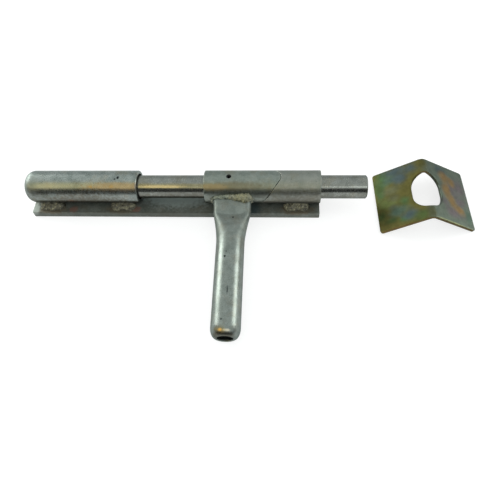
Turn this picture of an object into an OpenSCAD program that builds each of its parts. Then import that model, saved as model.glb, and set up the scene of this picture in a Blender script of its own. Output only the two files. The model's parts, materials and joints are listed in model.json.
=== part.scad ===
// Spring-loaded slam lock with a turn handle, and its bent strike plate.
// X runs along the bolt towards its tip, Z is up from the mounting face, and the
// handle lies towards -Y. The origin is the middle of the mounting face, below the bolt.

/* [Bolt] */
// Diameter of the bolt rod
rod_d = 19.05; // [16:0.05:20]
// How far the bolt tip stands out of the front tube
tip_reach = 37.4; // [28:0.1:60]
// Chamfer round the tip and the rear end of the rod
tip_chamfer = 0.9; // [0.3:0.1:2]
// Bare rod between the rear tube and the cam collar, which is the longest stroke
rod_gap = 55.5; // [45:0.5:70]
// Length of rod inside the rear tube at rest
rod_insertion = 15; // [10:1:16]

/* [Tubes] */
// Outer diameter of both tubes and of the cam collar
tube_d = 26.9; // [26:0.1:32]
// Wall of the rear tube
rear_wall = 2.6; // [2:0.1:3]
// Length of the rear tube over its domed end
rear_tube_l = 97; // [85:1:120]
// Rounding of the outer edge at the mouth of the rear tube
lip_r = 1.2; // [0.4:0.1:1.5]
// Outer radius where the closed end is spun over
dome_r = 8; // [7:0.5:12]
// Length of the collar and the front tube together, at rest
guide_l = 95; // [88:1:120]
// Running clearance round the rod, on the radius
rod_clearance = 0.08; // [0.03:0.01:0.1]

/* [Cam] */
// Length of the collar from its rear face to the peak of its cam
collar_l = 62.5; // [58:0.5:66]
// Bolt travel for each radian that the handle turns
cam_lead = 9.2; // [7:0.1:9.5]
// Half angle of the rounding at the peak and at the valley of the cam
cam_round = 20; // [10:1:30]
// Gap along the bolt between the two cam faces at rest
cam_gap = 0.4; // [0.2:0.1:1]

/* [Roll pin] */
// Diameter of the roll pin that holds the collar on the rod
pin_d = 4.2; // [4:0.1:6]
// Wall of the rolled pin
pin_wall = 0.8; // [0.5:0.1:1]
// Width of the slot along the pin
pin_slot = 0.9; // [0.4:0.1:1.4]
// Distance of the pin from the rear face of the collar
pin_inset = 20.5; // [12:0.5:30]

/* [Handle] */
// Diameter of the handle tube
handle_d = 22.2; // [20:0.1:24]
// Wall of the handle tube
handle_wall = 2; // [1.5:0.1:2.5]
// Distance from the bolt axis to the far end of the handle
handle_reach = 131; // [110:0.5:140]
// Distance of the handle from the rear face of the collar
handle_inset = 23.4; // [20:0.1:26]
// Thickness of the pressed flat neck
neck_t = 7.8; // [7:0.1:10]
// Distance from the bolt axis at which the flat neck starts to open
neck_end = 25.5; // [22:0.5:28]
// Distance from the bolt axis at which the tube is fully round
flare_end = 54; // [44:0.5:60]
// How steeply the flare opens behind the pressed edge
flare_power = 1.7; // [1.2:0.1:2.2]
// Radius of the end that is rolled inwards
end_roll = 4.5; // [3:0.1:6]
// Angle of the handle below the level of the bolt axis, at rest
handle_droop = 3.5; // [0:0.1:4]
// Sideways lean of the handle towards the tip of the bolt
handle_lean = 0.5; // [0:0.1:3]

/* [Mounting bar] */
// Width of the flat bar
bar_w = 35; // [32:1:45]
// Thickness of the flat bar
bar_t = 6; // [5:0.5:8]
// How far the domed end passes the end of the bar
rear_overhang = 2.1; // [1:0.1:10]
// How far the mouth of the front tube passes the end of the bar
front_overhang = 0.2; // [0:0.1:6]
// Corner clipped off each end of the bar
bar_corner = 0.5; // [0.3:0.1:3]

/* [Welds] */
// Radius of the beads between the tubes and the bar
bead_r = 6; // [4:0.5:7]
// Distance of those beads from the bolt axis, sideways
bead_y = 10; // [8:0.5:11]
// Length of each bead
bead_l = 22; // [14:1:30]
// Distance of the rear bead from the domed end
rear_bead_inset = 8; // [6:0.5:16]
// Distance of the middle bead from the mouth of the rear tube
middle_bead_inset = 5; // [2:0.5:10]
// Distance of the front bead from the mouth of the front tube
front_bead_inset = 8.5; // [4:0.5:14]
// Mean radius of the bead round the handle's neck
neck_bead_r = 2.1; // [1.5:0.1:2.6]
// Share by which that bead is thicker towards the bolt's tip and thinner away from it
neck_bead_swell = 0.45; // [0:0.05:0.6]

/* [Spring] */
// Wire of the return spring
wire_d = 1.8; // [1.4:0.1:1.9]
// Number of turns
spring_turns = 7; // [6:1:7]
// Gap between the spring and the bore of the rear tube, on the radius
spring_gap = 0.5; // [0.3:0.1:0.8]
// Thickness of the washer between the rod and the spring
washer_t = 2; // [1.5:0.1:2.5]
// Hole in that washer
washer_hole = 8; // [6:0.5:12]

/* [Strike plate] */
// Thickness of the bent plate
strike_t = 2.5; // [2:0.1:3]
// Width of the plate along its bend
strike_w = 59; // [50:1:70]
// Length of each wing from the bend
wing_l = 43.8; // [38:0.1:55]
// Angle between the two wings
wing_angle = 119; // [110:1:140]
// Inner radius of the bend
bend_r = 3.5; // [1:0.1:5]
// Radius of the plate's corners
strike_corner = 2; // [1:0.1:4]
// Width of the oval hole across the bend
hole_across = 27.4; // [22:0.1:30]
// Length of the oval hole along the bend
hole_along = 34.7; // [31:0.1:40]
// How far the hole lies towards the handle's side of the plate
hole_shift = 1; // [0:0.1:3]
// Distance from the bolt tip to the bend, along the bolt
strike_x = 47.7; // [45:0.1:80]
// Distance of the plate's middle from the bolt axis, towards the handle's side
strike_y = 2.8; // [0:0.1:10]
// How far the plate is turned from square
strike_turn = 2; // [-5:0.1:5]

/* [Hidden] */
$fn = 96;

// Small gap between parts that slide in or press on one another
seat = 0.05;
// How far a cutting shape runs past what it cuts
over = 1;

// Heights and stations along the bolt
tube_r = tube_d / 2;
rod_r = rod_d / 2;
axis_h = bar_t + tube_r;
bar_l = rear_tube_l + rod_gap + guide_l - rear_overhang - front_overhang;
mouth_x = bar_l / 2 + front_overhang;
tip_x = mouth_x + tip_reach;
collar_x = mouth_x - guide_l;
cam_peak_x = collar_x + collar_l;
rear_mouth_x = collar_x - rod_gap;
dome_x = rear_mouth_x - rear_tube_l;
rod_rear_x = rear_mouth_x - rod_insertion;
rear_bore_r = tube_r - rear_wall;

// Lays its children, drawn upwards along Z, on the bolt axis from station x onwards
module along_bolt(x) {
    translate([x, 0, axis_h]) rotate([0, 90, 0]) children();
}

// Lengths of the rounded and the whole half turn of the cam, in radians
round_rad = cam_round * PI / 180;
cam_depth = cam_lead * (PI - round_rad);
// Points round the turned cam face
cam_steps = 120;

// How far the cam face lies behind its peak, at an angle from the peak in degrees:
// a helix on each side, rolled over with a parabola at the peak and at the valley
function cam_drop(angle) =
    let (turn = abs(angle) * PI / 180)
    turn < round_rad ? cam_lead * turn * turn / (2 * round_rad)
    : turn > PI - round_rad ? cam_depth - cam_lead * (PI - turn) * (PI - turn) / (2 * round_rad)
    : cam_lead * (turn - round_rad / 2);

// A point of the cam face at a given angle from the top and a given radius
function cam_point(angle, r, shift) =
    [cam_peak_x + shift - cam_drop(angle), -r * sin(angle), axis_h + r * cos(angle)];

// The ring between the cam face and the plane x = far_x, wider than the tube's wall
module cam_cutter(far_x, shift) {
    inner_r = rod_r - over;
    outer_r = tube_r + over;
    forward = far_x > cam_peak_x;
    rows = [for (i = [0:cam_steps - 1]) let (a = 360 * i / cam_steps - 180) [
        cam_point(a, inner_r, shift),
        cam_point(a, outer_r, shift),
        [far_x, -outer_r * sin(a), axis_h + outer_r * cos(a)],
        [far_x, -inner_r * sin(a), axis_h + inner_r * cos(a)]
    ]];
    sides = [for (i = [0:cam_steps - 1], k = [0:3])
        let (n = (i + 1) % cam_steps, m = (k + 1) % 4)
        each [[4 * i + k, 4 * n + k, 4 * n + m], [4 * i + k, 4 * n + m, 4 * i + m]]];
    faces = forward ? [for (f = sides) [f[2], f[1], f[0]]] : sides;
    polyhedron(points = [for (row = rows) each row], faces = faces);
}

// Flat bar that carries both tubes and is welded to whatever the lock is mounted on
module mounting_bar() {
    half_l = bar_l / 2;
    half_w = bar_w / 2;
    c = bar_corner;
    color("lightslategray")
        linear_extrude(bar_t)
            polygon([[-half_l + c, -half_w], [half_l - c, -half_w], [half_l, -half_w + c],
                     [half_l, half_w - c], [half_l - c, half_w], [-half_l + c, half_w],
                     [-half_l, half_w - c], [-half_l, -half_w + c]]);
}

// Half section of a round bar or tube end whose corner is rolled over with radius c
module rolled_section(r, c, length) {
    translate([0, c]) square([r, length - c]);
    square([r - c, c + over]);
    intersection() {
        translate([r - c, c]) circle(c);
        square([r, c]);
    }
}

// Spring housing: a tube with one end spun closed into a dome
module rear_tube() {
    color("slategray")
        along_bolt(dome_x)
            rotate_extrude()
                difference() {
                    intersection() {
                        rolled_section(tube_r, dome_r, rear_tube_l);
                        translate([0, rear_tube_l]) mirror([0, 1])
                            rolled_section(tube_r, lip_r, rear_tube_l);
                    }
                    translate([0, rear_wall])
                        rolled_section(rear_bore_r, dome_r - rear_wall, rear_tube_l);
                }
}

// Guide tube that the bolt slides in, with a cam cut into its rear end
module front_tube() {
    bore_r = rod_r + rod_clearance;
    low_x = cam_peak_x - cam_depth - over;
    color("slategray")
        difference() {
            along_bolt(low_x) cylinder(r = tube_r, h = mouth_x - low_x);
            along_bolt(low_x - over) cylinder(r = bore_r, h = mouth_x - low_x + 2 * over);
            cam_cutter(low_x - 2 * over, cam_gap);
        }
}

// Straight hole for the roll pin through the collar and the rod
module pin_hole() {
    translate([collar_x + pin_inset, 0, axis_h - tube_r - over])
        cylinder(d = pin_d, h = tube_d + 2 * over);
}

// Collar pinned to the rod, with the matching cam on its front end
module cam_collar() {
    color("slategray")
        difference() {
            along_bolt(collar_x) cylinder(r = tube_r, h = collar_l + over);
            along_bolt(collar_x - over) cylinder(r = rod_r + seat, h = collar_l + 3 * over);
            cam_cutter(cam_peak_x + 3 * over, 0);
            pin_hole();
        }
}

// Solid round bolt, chamfered at both ends
module bolt_rod() {
    length = tip_x - rod_rear_x;
    c = tip_chamfer;
    color("silver")
        difference() {
            along_bolt(rod_rear_x) {
                cylinder(r1 = rod_r - c, r2 = rod_r, h = c);
                translate([0, 0, c]) cylinder(r = rod_r, h = length - 2 * c);
                translate([0, 0, length - c]) cylinder(r1 = rod_r, r2 = rod_r - c, h = c);
            }
            pin_hole();
        }
}

// Slotted spring pin, rolled from strip
module roll_pin() {
    length = tube_d - 2 * pin_wall;
    outer_r = pin_d / 2 - seat / 2;
    color("dimgray")
        translate([collar_x + pin_inset, 0, axis_h - length / 2])
            difference() {
                cylinder(r = outer_r, h = length);
                translate([0, 0, -over]) cylinder(r = outer_r - pin_wall, h = length + 2 * over);
                translate([0, -pin_slot / 2, -over]) cube([pin_d, pin_slot, length + 2 * over]);
            }
}

// The spring seats where its outside meets the rolled corner inside the dome
wire_r = wire_d / 2;
spring_r = rear_bore_r - spring_gap - wire_r;
dome_bore_r = dome_r - rear_wall;
seat_run = max(0, spring_r + wire_r - (rear_bore_r - dome_bore_r));
spring_rear_x = dome_x + rear_wall + dome_bore_r - sqrt(dome_bore_r ^ 2 - seat_run ^ 2) + seat;
washer_x = rod_rear_x - washer_t - seat;
spring_l = washer_x - spring_rear_x - seat;
// Turns that lie flat against one another at each end, and the rise of one of them
closed_turns = 1;
closed_pitch = wire_d * 1.03;

// Station of the wire's centre after a number of turns
function spring_rise(turns) =
    let (open_turns = spring_turns - 2 * closed_turns,
         open_l = spring_l - wire_d - 2 * closed_turns * closed_pitch,
         low = min(turns, closed_turns) * closed_pitch,
         middle = min(max(turns - closed_turns, 0), open_turns) * open_l / open_turns,
         high = max(turns - closed_turns - open_turns, 0) * closed_pitch)
    wire_r + low + middle + high;

// Compression spring that pushes the bolt forward, wound as a round wire on a helix
module return_spring() {
    rings_per_turn = 20;
    sides = 8;
    rings = rings_per_turn * spring_turns;
    points = [for (i = [0:rings], k = [0:sides - 1])
        let (a = 360 * i / rings_per_turn, b = 360 * k / sides, r = spring_r + wire_r * cos(b))
        [r * cos(a), r * sin(a), spring_rise(i / rings_per_turn) + wire_r * sin(b)]];
    skin = [for (i = [0:rings - 1], k = [0:sides - 1])
        let (m = (k + 1) % sides)
        each [[i * sides + k, (i + 1) * sides + m, (i + 1) * sides + k],
              [i * sides + k, i * sides + m, (i + 1) * sides + m]]];
    first_cap = [for (k = [sides - 1:-1:0]) k];
    last_cap = [for (k = [0:sides - 1]) rings * sides + k];
    color("gray")
        along_bolt(spring_rear_x)
            polyhedron(points = points, faces = concat(skin, [first_cap, last_cap]));
}

// Washer between the turning rod and the spring that doesn't turn
module thrust_washer() {
    color("darkgray")
        along_bolt(washer_x)
            difference() {
                cylinder(r = rear_bore_r - 2 * seat, h = washer_t);
                translate([0, 0, -over]) cylinder(d = washer_hole, h = washer_t + 2 * over);
            }
}

// The handle is drawn along +Z from the bolt axis, with the neck's width along X,
// and is laid over towards -Y with its droop and lean
module along_handle() {
    translate([collar_x + handle_inset, 0, axis_h])
        rotate([90 + handle_droop, 0, 0]) rotate([0, handle_lean, 0]) children();
}

// Squeezing a round tube keeps the length round its wall, so a neck pressed to
// thickness t becomes wider: the straight run between its two round edges
handle_mid_d = handle_d - handle_wall;
function flat_run(t) = PI / 2 * (handle_mid_d - (t - handle_wall));
function flare_t(z) =
    let (s = min(max((z - neck_end) / (flare_end - neck_end), 0), 1))
    neck_t + (handle_d - neck_t) * (1 - (1 - s) ^ flare_power);

// Outline of the squeezed tube at height z, drawn inset by a depth
flare_sides = 40;
function flare_ring(z, inset) =
    let (t = flare_t(z), run = flat_run(t), r = t / 2 - inset)
    [for (k = [0:flare_sides - 1])
        let (a = 360 * (k + 0.5) / flare_sides)
        [sign(cos(a)) * run / 2 + r * cos(a), r * sin(a), z]];

// Neck and flare as a stack of rings, from the bolt axis to the round tube and a little on
module flare(inset, extend) {
    steps = 9;
    heights = concat([0],
                     [for (i = [0:steps]) neck_end + (flare_end - neck_end) * i / steps],
                     [flare_end + extend]);
    n = flare_sides;
    last = len(heights) - 1;
    points = [for (z = heights) each flare_ring(z, inset)];
    skin = [for (i = [0:last - 1], k = [0:n - 1])
        let (m = (k + 1) % n)
        each [[i * n + k, (i + 1) * n + k, (i + 1) * n + m],
              [i * n + k, (i + 1) * n + m, i * n + m]]];
    first_cap = [for (k = [0:n - 1]) k];
    last_cap = [for (k = [n - 1:-1:0]) last * n + k];
    polyhedron(points = points, faces = concat(skin, [first_cap, last_cap]));
}

// Section of the flat neck, with both edges fully round
module neck_section() {
    run = flat_run(neck_t);
    square([run, neck_t], center = true);
    translate([run / 2, 0]) circle(neck_t / 2);
    translate([-run / 2, 0]) circle(neck_t / 2);
}

// Handle: one length of tube, pressed flat at the bolt and rolled in at the far end
module handle_tube() {
    round_l = handle_reach - flare_end;
    color("lightsteelblue")
        difference() {
            along_handle()
                difference() {
                    union() {
                        flare(seat / 2, over);
                        translate([0, 0, handle_reach]) rotate([180, 0, 0])
                            rotate_extrude() rolled_section(handle_d / 2, end_roll, round_l);
                    }
                    flare(handle_wall + seat / 2, over);
                    translate([0, 0, handle_reach - handle_wall]) rotate([180, 0, 0])
                        rotate_extrude()
                            rolled_section(handle_d / 2 - handle_wall, end_roll - handle_wall,
                                           round_l - handle_wall);
                    translate([0, 0, flare_end])
                        cylinder(r = handle_d / 2 - end_roll, h = round_l + over);
                }
            along_bolt(collar_x - over) cylinder(r = tube_r, h = guide_l + 2 * over);
        }
}

// Weld bead that runs round the neck where it meets the collar
module handle_weld() {
    rings = 48;
    sides = 8;
    run = flat_run(neck_t);
    // Corner of the neck and the collar at an angle round the neck
    path = [for (i = [0:rings - 1])
        let (a = 360 * (i + 0.5) / rings, v = neck_t / 2 * sin(a))
        [sign(cos(a)) * run / 2 + neck_t / 2 * cos(a), v, sqrt(tube_r ^ 2 - v ^ 2)]];
    points = [for (i = [0:rings - 1], k = [0:sides - 1])
        let (ahead = path[(i + 1) % rings], behind = path[(i + rings - 1) % rings],
             along = (ahead - behind) / norm(ahead - behind),
             out = cross(along, [0, 0, 1]) / norm(cross(along, [0, 0, 1])),
             up = cross(out, along), b = 360 * k / sides,
             r = neck_bead_r * (1 + neck_bead_swell * cos(360 * (i + 0.5) / rings)))
        path[i] + r * (cos(b) * out + sin(b) * up)];
    skin = [for (i = [0:rings - 1], k = [0:sides - 1])
        let (n = (i + 1) % rings, m = (k + 1) % sides)
        each [[i * sides + k, n * sides + m, n * sides + k],
              [i * sides + k, i * sides + m, n * sides + m]]];
    color("rosybrown")
        difference() {
            along_handle()
                difference() {
                    polyhedron(points = points, faces = skin);
                    linear_extrude(neck_end) neck_section();
                }
            along_bolt(collar_x - over) cylinder(r = tube_r, h = guide_l + 2 * over);
        }
}

// A pair of beads, one on each side, between a tube and the bar, centred on station x
module bead_pair(x) {
    for (side = [-1, 1])
        difference() {
            translate([x, side * bead_y, bar_t]) {
                translate([bead_r - bead_l / 2, 0, 0]) sphere(bead_r);
                translate([bead_l / 2 - bead_r, 0, 0]) sphere(bead_r);
                translate([bead_r - bead_l / 2, 0, 0])
                    rotate([0, 90, 0]) cylinder(r = bead_r, h = bead_l - 2 * bead_r);
            }
            along_bolt(x - bead_l) cylinder(r = tube_r, h = 2 * bead_l);
            translate([x - bead_l, -bar_w, bar_t - bar_w]) cube([2 * bead_l, 2 * bar_w, bar_w]);
        }
}

// Beads that hold the rear tube: one pair near the dome and one near its mouth
module rear_tube_welds() {
    color("rosybrown") {
        bead_pair(dome_x + rear_bead_inset + bead_l / 2);
        bead_pair(rear_mouth_x - middle_bead_inset - bead_l / 2);
    }
}

// Beads that hold the front tube
module front_tube_welds() {
    color("rosybrown") bead_pair(mouth_x - front_bead_inset - bead_l / 2);
}

// Each wing falls away from the bend by this angle
wing_fall = (180 - wing_angle) / 2;
bend_outer_r = bend_r + strike_t;
ridge_h = wing_l * sin(wing_fall) + strike_t * cos(wing_fall);

// Section of the bent plate, with the sharp outer corner of the bend at the origin.
// Both arcs of the bend share one centre, which lies square to the ends of the bend
module strike_section() {
    centre = [0, -bend_outer_r / cos(wing_fall)];
    along = [cos(wing_fall), -sin(wing_fall)];
    square_to = [sin(wing_fall), cos(wing_fall)];
    right_side = [wing_l * along, wing_l * along - strike_t * square_to,
                  centre + bend_r * square_to];
    left_side = [for (i = [2:-1:0]) [-right_side[i].x, right_side[i].y]];
    corner = 2 * bend_outer_r * square_to;
    difference() {
        polygon(concat([[0, 0]], right_side, [centre], left_side));
        translate(centre) circle(bend_r);
        translate(centre)
            difference() {
                polygon([[0, 0], corner, [-corner.x, corner.y]]);
                circle(bend_outer_r);
            }
    }
}

// Half of the oval hole, as it is cut through one wing drawn flat, with the bend at x = 0
module half_oval() {
    oval_r = hole_across / 2;
    oval_y = hole_along / 2 - oval_r;
    difference() {
        translate([0, -hole_shift]) {
            for (side = [-1, 1]) translate([0, side * oval_y]) circle(oval_r);
            square([hole_across, 2 * oval_y], center = true);
        }
        translate([-hole_across, -strike_w]) square([hole_across, 2 * strike_w]);
    }
}

// What rounds off the far corner of a wing, on one side
module corner_cut(side) {
    corner = [wing_l - strike_corner, side * (strike_w / 2 - strike_corner)];
    reach = strike_corner + over;
    difference() {
        translate(corner - [0, side < 0 ? reach : 0]) square([reach, reach]);
        translate(corner) circle(strike_corner);
    }
}

// Those cuts, square to the wing and through its thickness
module wing_cutter() {
    rotate([0, wing_fall, 0])
        translate([0, 0, -2 * strike_t]) {
            linear_extrude(3 * strike_t) half_oval();
            linear_extrude(3 * strike_t) corner_cut(-1);
            linear_extrude(3 * strike_t) corner_cut(1);
        }
}

// Strike: a plate bent along its middle into two ramps, with an oval hole for the tip
module strike_plate() {
    color("darkkhaki")
        translate([tip_x + strike_x, -strike_y, ridge_h]) rotate([0, 0, strike_turn])
            difference() {
                translate([0, strike_w / 2, 0])
                    rotate([90, 0, 0]) linear_extrude(strike_w) strike_section();
                wing_cutter();
                mirror([1, 0, 0]) wing_cutter();
            }
}

mounting_bar();
rear_tube();
front_tube();
cam_collar();
bolt_rod();
roll_pin();
return_spring();
thrust_washer();
handle_tube();
handle_weld();
rear_tube_welds();
front_tube_welds();
strike_plate();
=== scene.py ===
# %% [markdown]
# # A slam lock in zinc plate, with its strike in yellow zinc
# A slam lock is welded to a gate or a crate. A spring throws its round bolt forward, and
# turning the handle draws it back, because the collar on the bolt and the front tube meet
# in a screw-shaped cam. All of it that shows is steel, plated with zinc after welding.
# The frame holds each piece at its real size and place. This lesson gives the pieces the
# rolled edges, weld metal, plating and stains that tell a real lock from a drawing.

# %% Load the frame
import json
import math

import bmesh
import bpy
import numpy as np
from mathutils import Matrix, Vector


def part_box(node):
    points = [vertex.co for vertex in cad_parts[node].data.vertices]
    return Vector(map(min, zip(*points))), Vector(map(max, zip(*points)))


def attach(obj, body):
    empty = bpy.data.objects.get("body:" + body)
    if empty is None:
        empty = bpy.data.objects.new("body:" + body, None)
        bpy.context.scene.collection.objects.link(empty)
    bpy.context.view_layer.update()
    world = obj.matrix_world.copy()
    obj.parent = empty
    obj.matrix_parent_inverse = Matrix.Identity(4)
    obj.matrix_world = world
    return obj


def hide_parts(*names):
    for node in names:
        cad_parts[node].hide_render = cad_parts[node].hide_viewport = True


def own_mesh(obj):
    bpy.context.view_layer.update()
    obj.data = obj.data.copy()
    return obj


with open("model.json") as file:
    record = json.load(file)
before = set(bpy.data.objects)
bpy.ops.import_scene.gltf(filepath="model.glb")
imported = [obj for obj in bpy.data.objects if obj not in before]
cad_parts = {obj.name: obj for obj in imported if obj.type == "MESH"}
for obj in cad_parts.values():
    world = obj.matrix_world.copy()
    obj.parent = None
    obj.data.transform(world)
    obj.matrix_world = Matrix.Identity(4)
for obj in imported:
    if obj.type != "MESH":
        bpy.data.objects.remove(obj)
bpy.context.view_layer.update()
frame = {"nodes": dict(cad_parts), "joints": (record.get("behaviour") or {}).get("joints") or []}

nodes = frame["nodes"]
print("nodes in the frame:", ", ".join(sorted(nodes)))

# %% [markdown]
# ## Sizes, read from the frame
# Most sizes are worked out from the boxes of the nodes, so that a piece made here always
# lies where the frame has it. Only what a box can't tell, such as the wall of a tube or
# the radius of a bend, is a named value, given with its piece.

# %% Sizes along the bolt
MM = 0.001
tube_lo, tube_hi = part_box("rear_tube")
rod_lo, rod_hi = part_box("bolt_rod")
collar_lo, collar_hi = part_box("cam_collar")
front_lo, front_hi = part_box("front_tube")
AXIS_Z = (rod_lo.z + rod_hi.z) / 2
TUBE_R = (tube_hi.z - tube_lo.z) / 2
ROD_R = (rod_hi.z - rod_lo.z) / 2
DOME_X = tube_lo.x
REAR_MOUTH_X = tube_hi.x
COLLAR_X = collar_lo.x
CAM_PEAK_X = collar_hi.x
MOUTH_X = front_hi.x
print(f"tube {TUBE_R * 2 / MM:.2f} mm, bolt {ROD_R * 2 / MM:.2f} mm, axis {AXIS_Z / MM:.2f} mm up")

# %% [markdown]
# ## Helpers for finishes
# Each finish is a small tree of nodes. Its colours are written as sRGB hex, the way a
# picture shows them, and turned to the linear values that a shader needs. The size of
# each pattern is written in millimetres.


# %% Colours, nodes and scales
def linear(hex_colour):
    """sRGB hex to linear RGBA: value / 12.92 in the darks, ((value + 0.055) / 1.055)^2.4 above."""
    value = np.array([int(hex_colour[i:i + 2], 16) for i in (1, 3, 5)]) / 255
    value = np.where(value <= 0.04045, value / 12.92, ((value + 0.055) / 1.055) ** 2.4)
    return (*value.tolist(), 1.0)


def add(tree, kind, inputs=None, **settings):
    """Adds one node with its settings. An input is a value, a socket that it links to, or a
    node, which it links to by the first output in use."""
    made = tree.nodes.new("ShaderNode" + kind)
    for name, value in settings.items():
        setattr(made, name, value)
    for key, value in (inputs or {}).items():
        if isinstance(value, bpy.types.Node):
            value = next(socket for socket in value.outputs if socket.enabled)
        if isinstance(value, bpy.types.NodeSocket):
            tree.links.new(value, made.inputs[key])
        else:
            made.inputs[key].default_value = value
    return made


def per_mm(size):
    """The scale at which a texture's pattern repeats about every so many millimetres."""
    return 1 / (size * MM)


def blank(name):
    """An empty material: the material, its tree, and the place of each point on the object."""
    material = bpy.data.materials.new(name)
    material.use_nodes = True
    material.node_tree.nodes.clear()
    return material, material.node_tree, add(material.node_tree, "TexCoord").outputs["Object"]


print("half grey, #808080, is", round(linear("#808080")[0], 3), "in linear light")

# %% [markdown]
# ## Zinc plate
# Zinc from an electroplating bath is a dull blue-grey film. It isn't even: the bath
# leaves clouds of lighter and darker grey, handling leaves warmer stains, and pits in the
# steel stay open as dark specks. Its gloss is soft, so lamps show as blurred bands. One
# function draws all of that, and each piece gives it its own greys, gloss and marks. A
# mark is a spot of colour at a chosen place: a pit or a stain, or else painted shade, a
# painted highlight or a painted reflection.

# %% Marks at chosen places
MARK_INNER = 0.45
MARK_OUTER = 1.05


def marked(tree, place, colour, marks, ragged_mm=2.2, raggedness=0.9, inner=MARK_INNER, outer=MARK_OUTER):
    """Lays spots over a colour. With distance / half size = 1 at a spot's edge, its strength
    falls from full at inner to none at outer, and a noise makes that edge ragged."""
    ragged = add(tree, "TexNoise", {"Vector": place, "Scale": per_mm(ragged_mm), "Detail": 3.0})
    for centre, half_size, tone, strength in marks:
        around = add(tree, "Mapping", {"Vector": place, "Location": tuple(v * MM for v in centre),
                                       "Scale": tuple(v * MM for v in half_size)}, vector_type="TEXTURE")
        distance = add(tree, "VectorMath", {0: around}, operation="LENGTH")
        uneven = add(tree, "Math", {0: ragged, 1: raggedness, 2: distance}, operation="MULTIPLY_ADD")
        inside = add(tree, "MapRange", {"Value": uneven, "From Min": inner + raggedness / 2,
                                        "From Max": outer + raggedness / 2, "To Min": strength,
                                        "To Max": 0.0}, interpolation_type="SMOOTHSTEP")
        colour = add(tree, "Mix", {0: inside, 6: colour, 7: linear(tone)}, data_type="RGBA")
    return colour


print(f"a mark is full up to {MARK_INNER} of its half size and gone by {MARK_OUTER} of it")

# %% The plating
# What zinc reflects at a grazing angle, and the inside of a pit
EDGE_TINT = "#B9BDBD"
PIT_DARK = "#23272A"


def zinc_plate(name, pale, dark, stain, gloss, grain=1.0, turned=0.0, metallic=0.92, marks=(),
               dull=None):
    """Clouds of two greys, stains, marks, specks, and a fine grain that blurs the gloss. Dull
    is an axis, the two ends of a stretch of it over which the surface grows rougher, and by
    how much."""
    material, tree, place = blank(name)
    # Clouds from the plating bath, about 8 mm across
    clouds = add(tree, "TexNoise", {"Vector": place, "Scale": per_mm(8), "Detail": 5.0, "Roughness": 0.72})
    cloud = add(tree, "MapRange", {"Value": clouds, "From Min": 0.38, "From Max": 0.6})
    grey = add(tree, "Mix", {0: cloud, 6: linear(dark), 7: linear(pale)}, data_type="RGBA")
    # Stains from handling, about 14 mm across, ragged, and moved off the clouds' pattern
    shifted = add(tree, "Mapping", {"Vector": place, "Location": (0.07, 0.03, 0.02)})
    stains = add(tree, "TexNoise", {"Vector": shifted, "Scale": per_mm(14), "Detail": 6.0,
                                    "Roughness": 0.7})
    patch = add(tree, "MapRange", {"Value": stains, "From Min": 0.5, "From Max": 0.72, "To Max": 0.6})
    stained = add(tree, "Mix", {0: patch, 6: grey, 7: linear(stain)}, data_type="RGBA")
    # Crystals of the zinc. A real one is 0.05 mm across, drawn at 0.7 mm so that it shows
    crystals = add(tree, "TexNoise", {"Vector": place, "Scale": per_mm(0.7), "Detail": 3.0})
    glint = add(tree, "MapRange", {"Value": crystals, "From Min": 0.3, "From Max": 0.7,
                                   "To Min": 1 - 0.1 * grain, "To Max": 1 + 0.1 * grain})
    speckled = add(tree, "VectorMath", {0: stained, "Scale": glint}, operation="SCALE")
    spotted = marked(tree, place, speckled, marks)
    # Pits in the steel, 0.7 mm across: the few cells whose centre lies in the surface
    cells = add(tree, "TexVoronoi", {"Vector": place, "Scale": per_mm(6.5)})
    pit = add(tree, "MapRange", {"Value": cells, "From Min": 0.03, "From Max": 0.06, "To Min": 0.8,
                                 "To Max": 0.0})
    colour = add(tree, "Mix", {0: pit, 6: spotted, 7: linear(PIT_DARK)}, data_type="RGBA")
    rough = add(tree, "MapRange", {"Value": crystals, "From Min": 0.3, "From Max": 0.7,
                                   "To Min": gloss - 0.05, "To Max": gloss + 0.07})
    if dull:
        axis, begin, end, more = dull
        reach = add(tree, "SeparateXYZ", {"Vector": place})
        duller = add(tree, "MapRange", {"Value": reach.outputs[axis], "From Min": begin * MM,
                                        "From Max": end * MM, "To Max": more},
                     interpolation_type="SMOOTHSTEP")
        rough = add(tree, "Math", {0: rough, 1: duller})
    # Unevenness of the drawn tube, 5 mm across and a few hundredths high
    waves = add(tree, "TexNoise", {"Vector": place, "Scale": per_mm(5), "Detail": 2.0})
    swell = add(tree, "Bump", {"Height": waves, "Strength": 1.0, "Distance": 0.05 * MM})
    fine = add(tree, "Bump", {"Height": crystals, "Strength": 1.0, "Distance": 0.015 * MM * grain,
                              "Normal": swell})
    # Lines left by turning and drawing, which run round the bolt
    stretched = add(tree, "Mapping", {"Vector": place, "Scale": (per_mm(0.6), per_mm(40), per_mm(40))})
    lines = add(tree, "TexNoise", {"Vector": stretched, "Scale": 1.0, "Detail": 2.0})
    ridged = add(tree, "Bump", {"Height": lines, "Strength": 1.0, "Distance": 0.01 * MM * turned,
                                "Normal": fine})
    sunk = add(tree, "Bump", {"Height": pit, "Strength": 1.0, "Distance": 0.25 * MM, "Normal": ridged},
               invert=True)
    shader = add(tree, "BsdfPrincipled", {"Base Color": colour, "Metallic": metallic, "Roughness": rough,
                                          "Specular Tint": linear(EDGE_TINT), "Normal": sunk})
    add(tree, "OutputMaterial", {"Surface": shader})
    print(f"{name}: {len(tree.nodes)} nodes")
    return material


print(f"at a grazing angle every plating reflects {EDGE_TINT}, and its pits are {PIT_DARK}")
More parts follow.
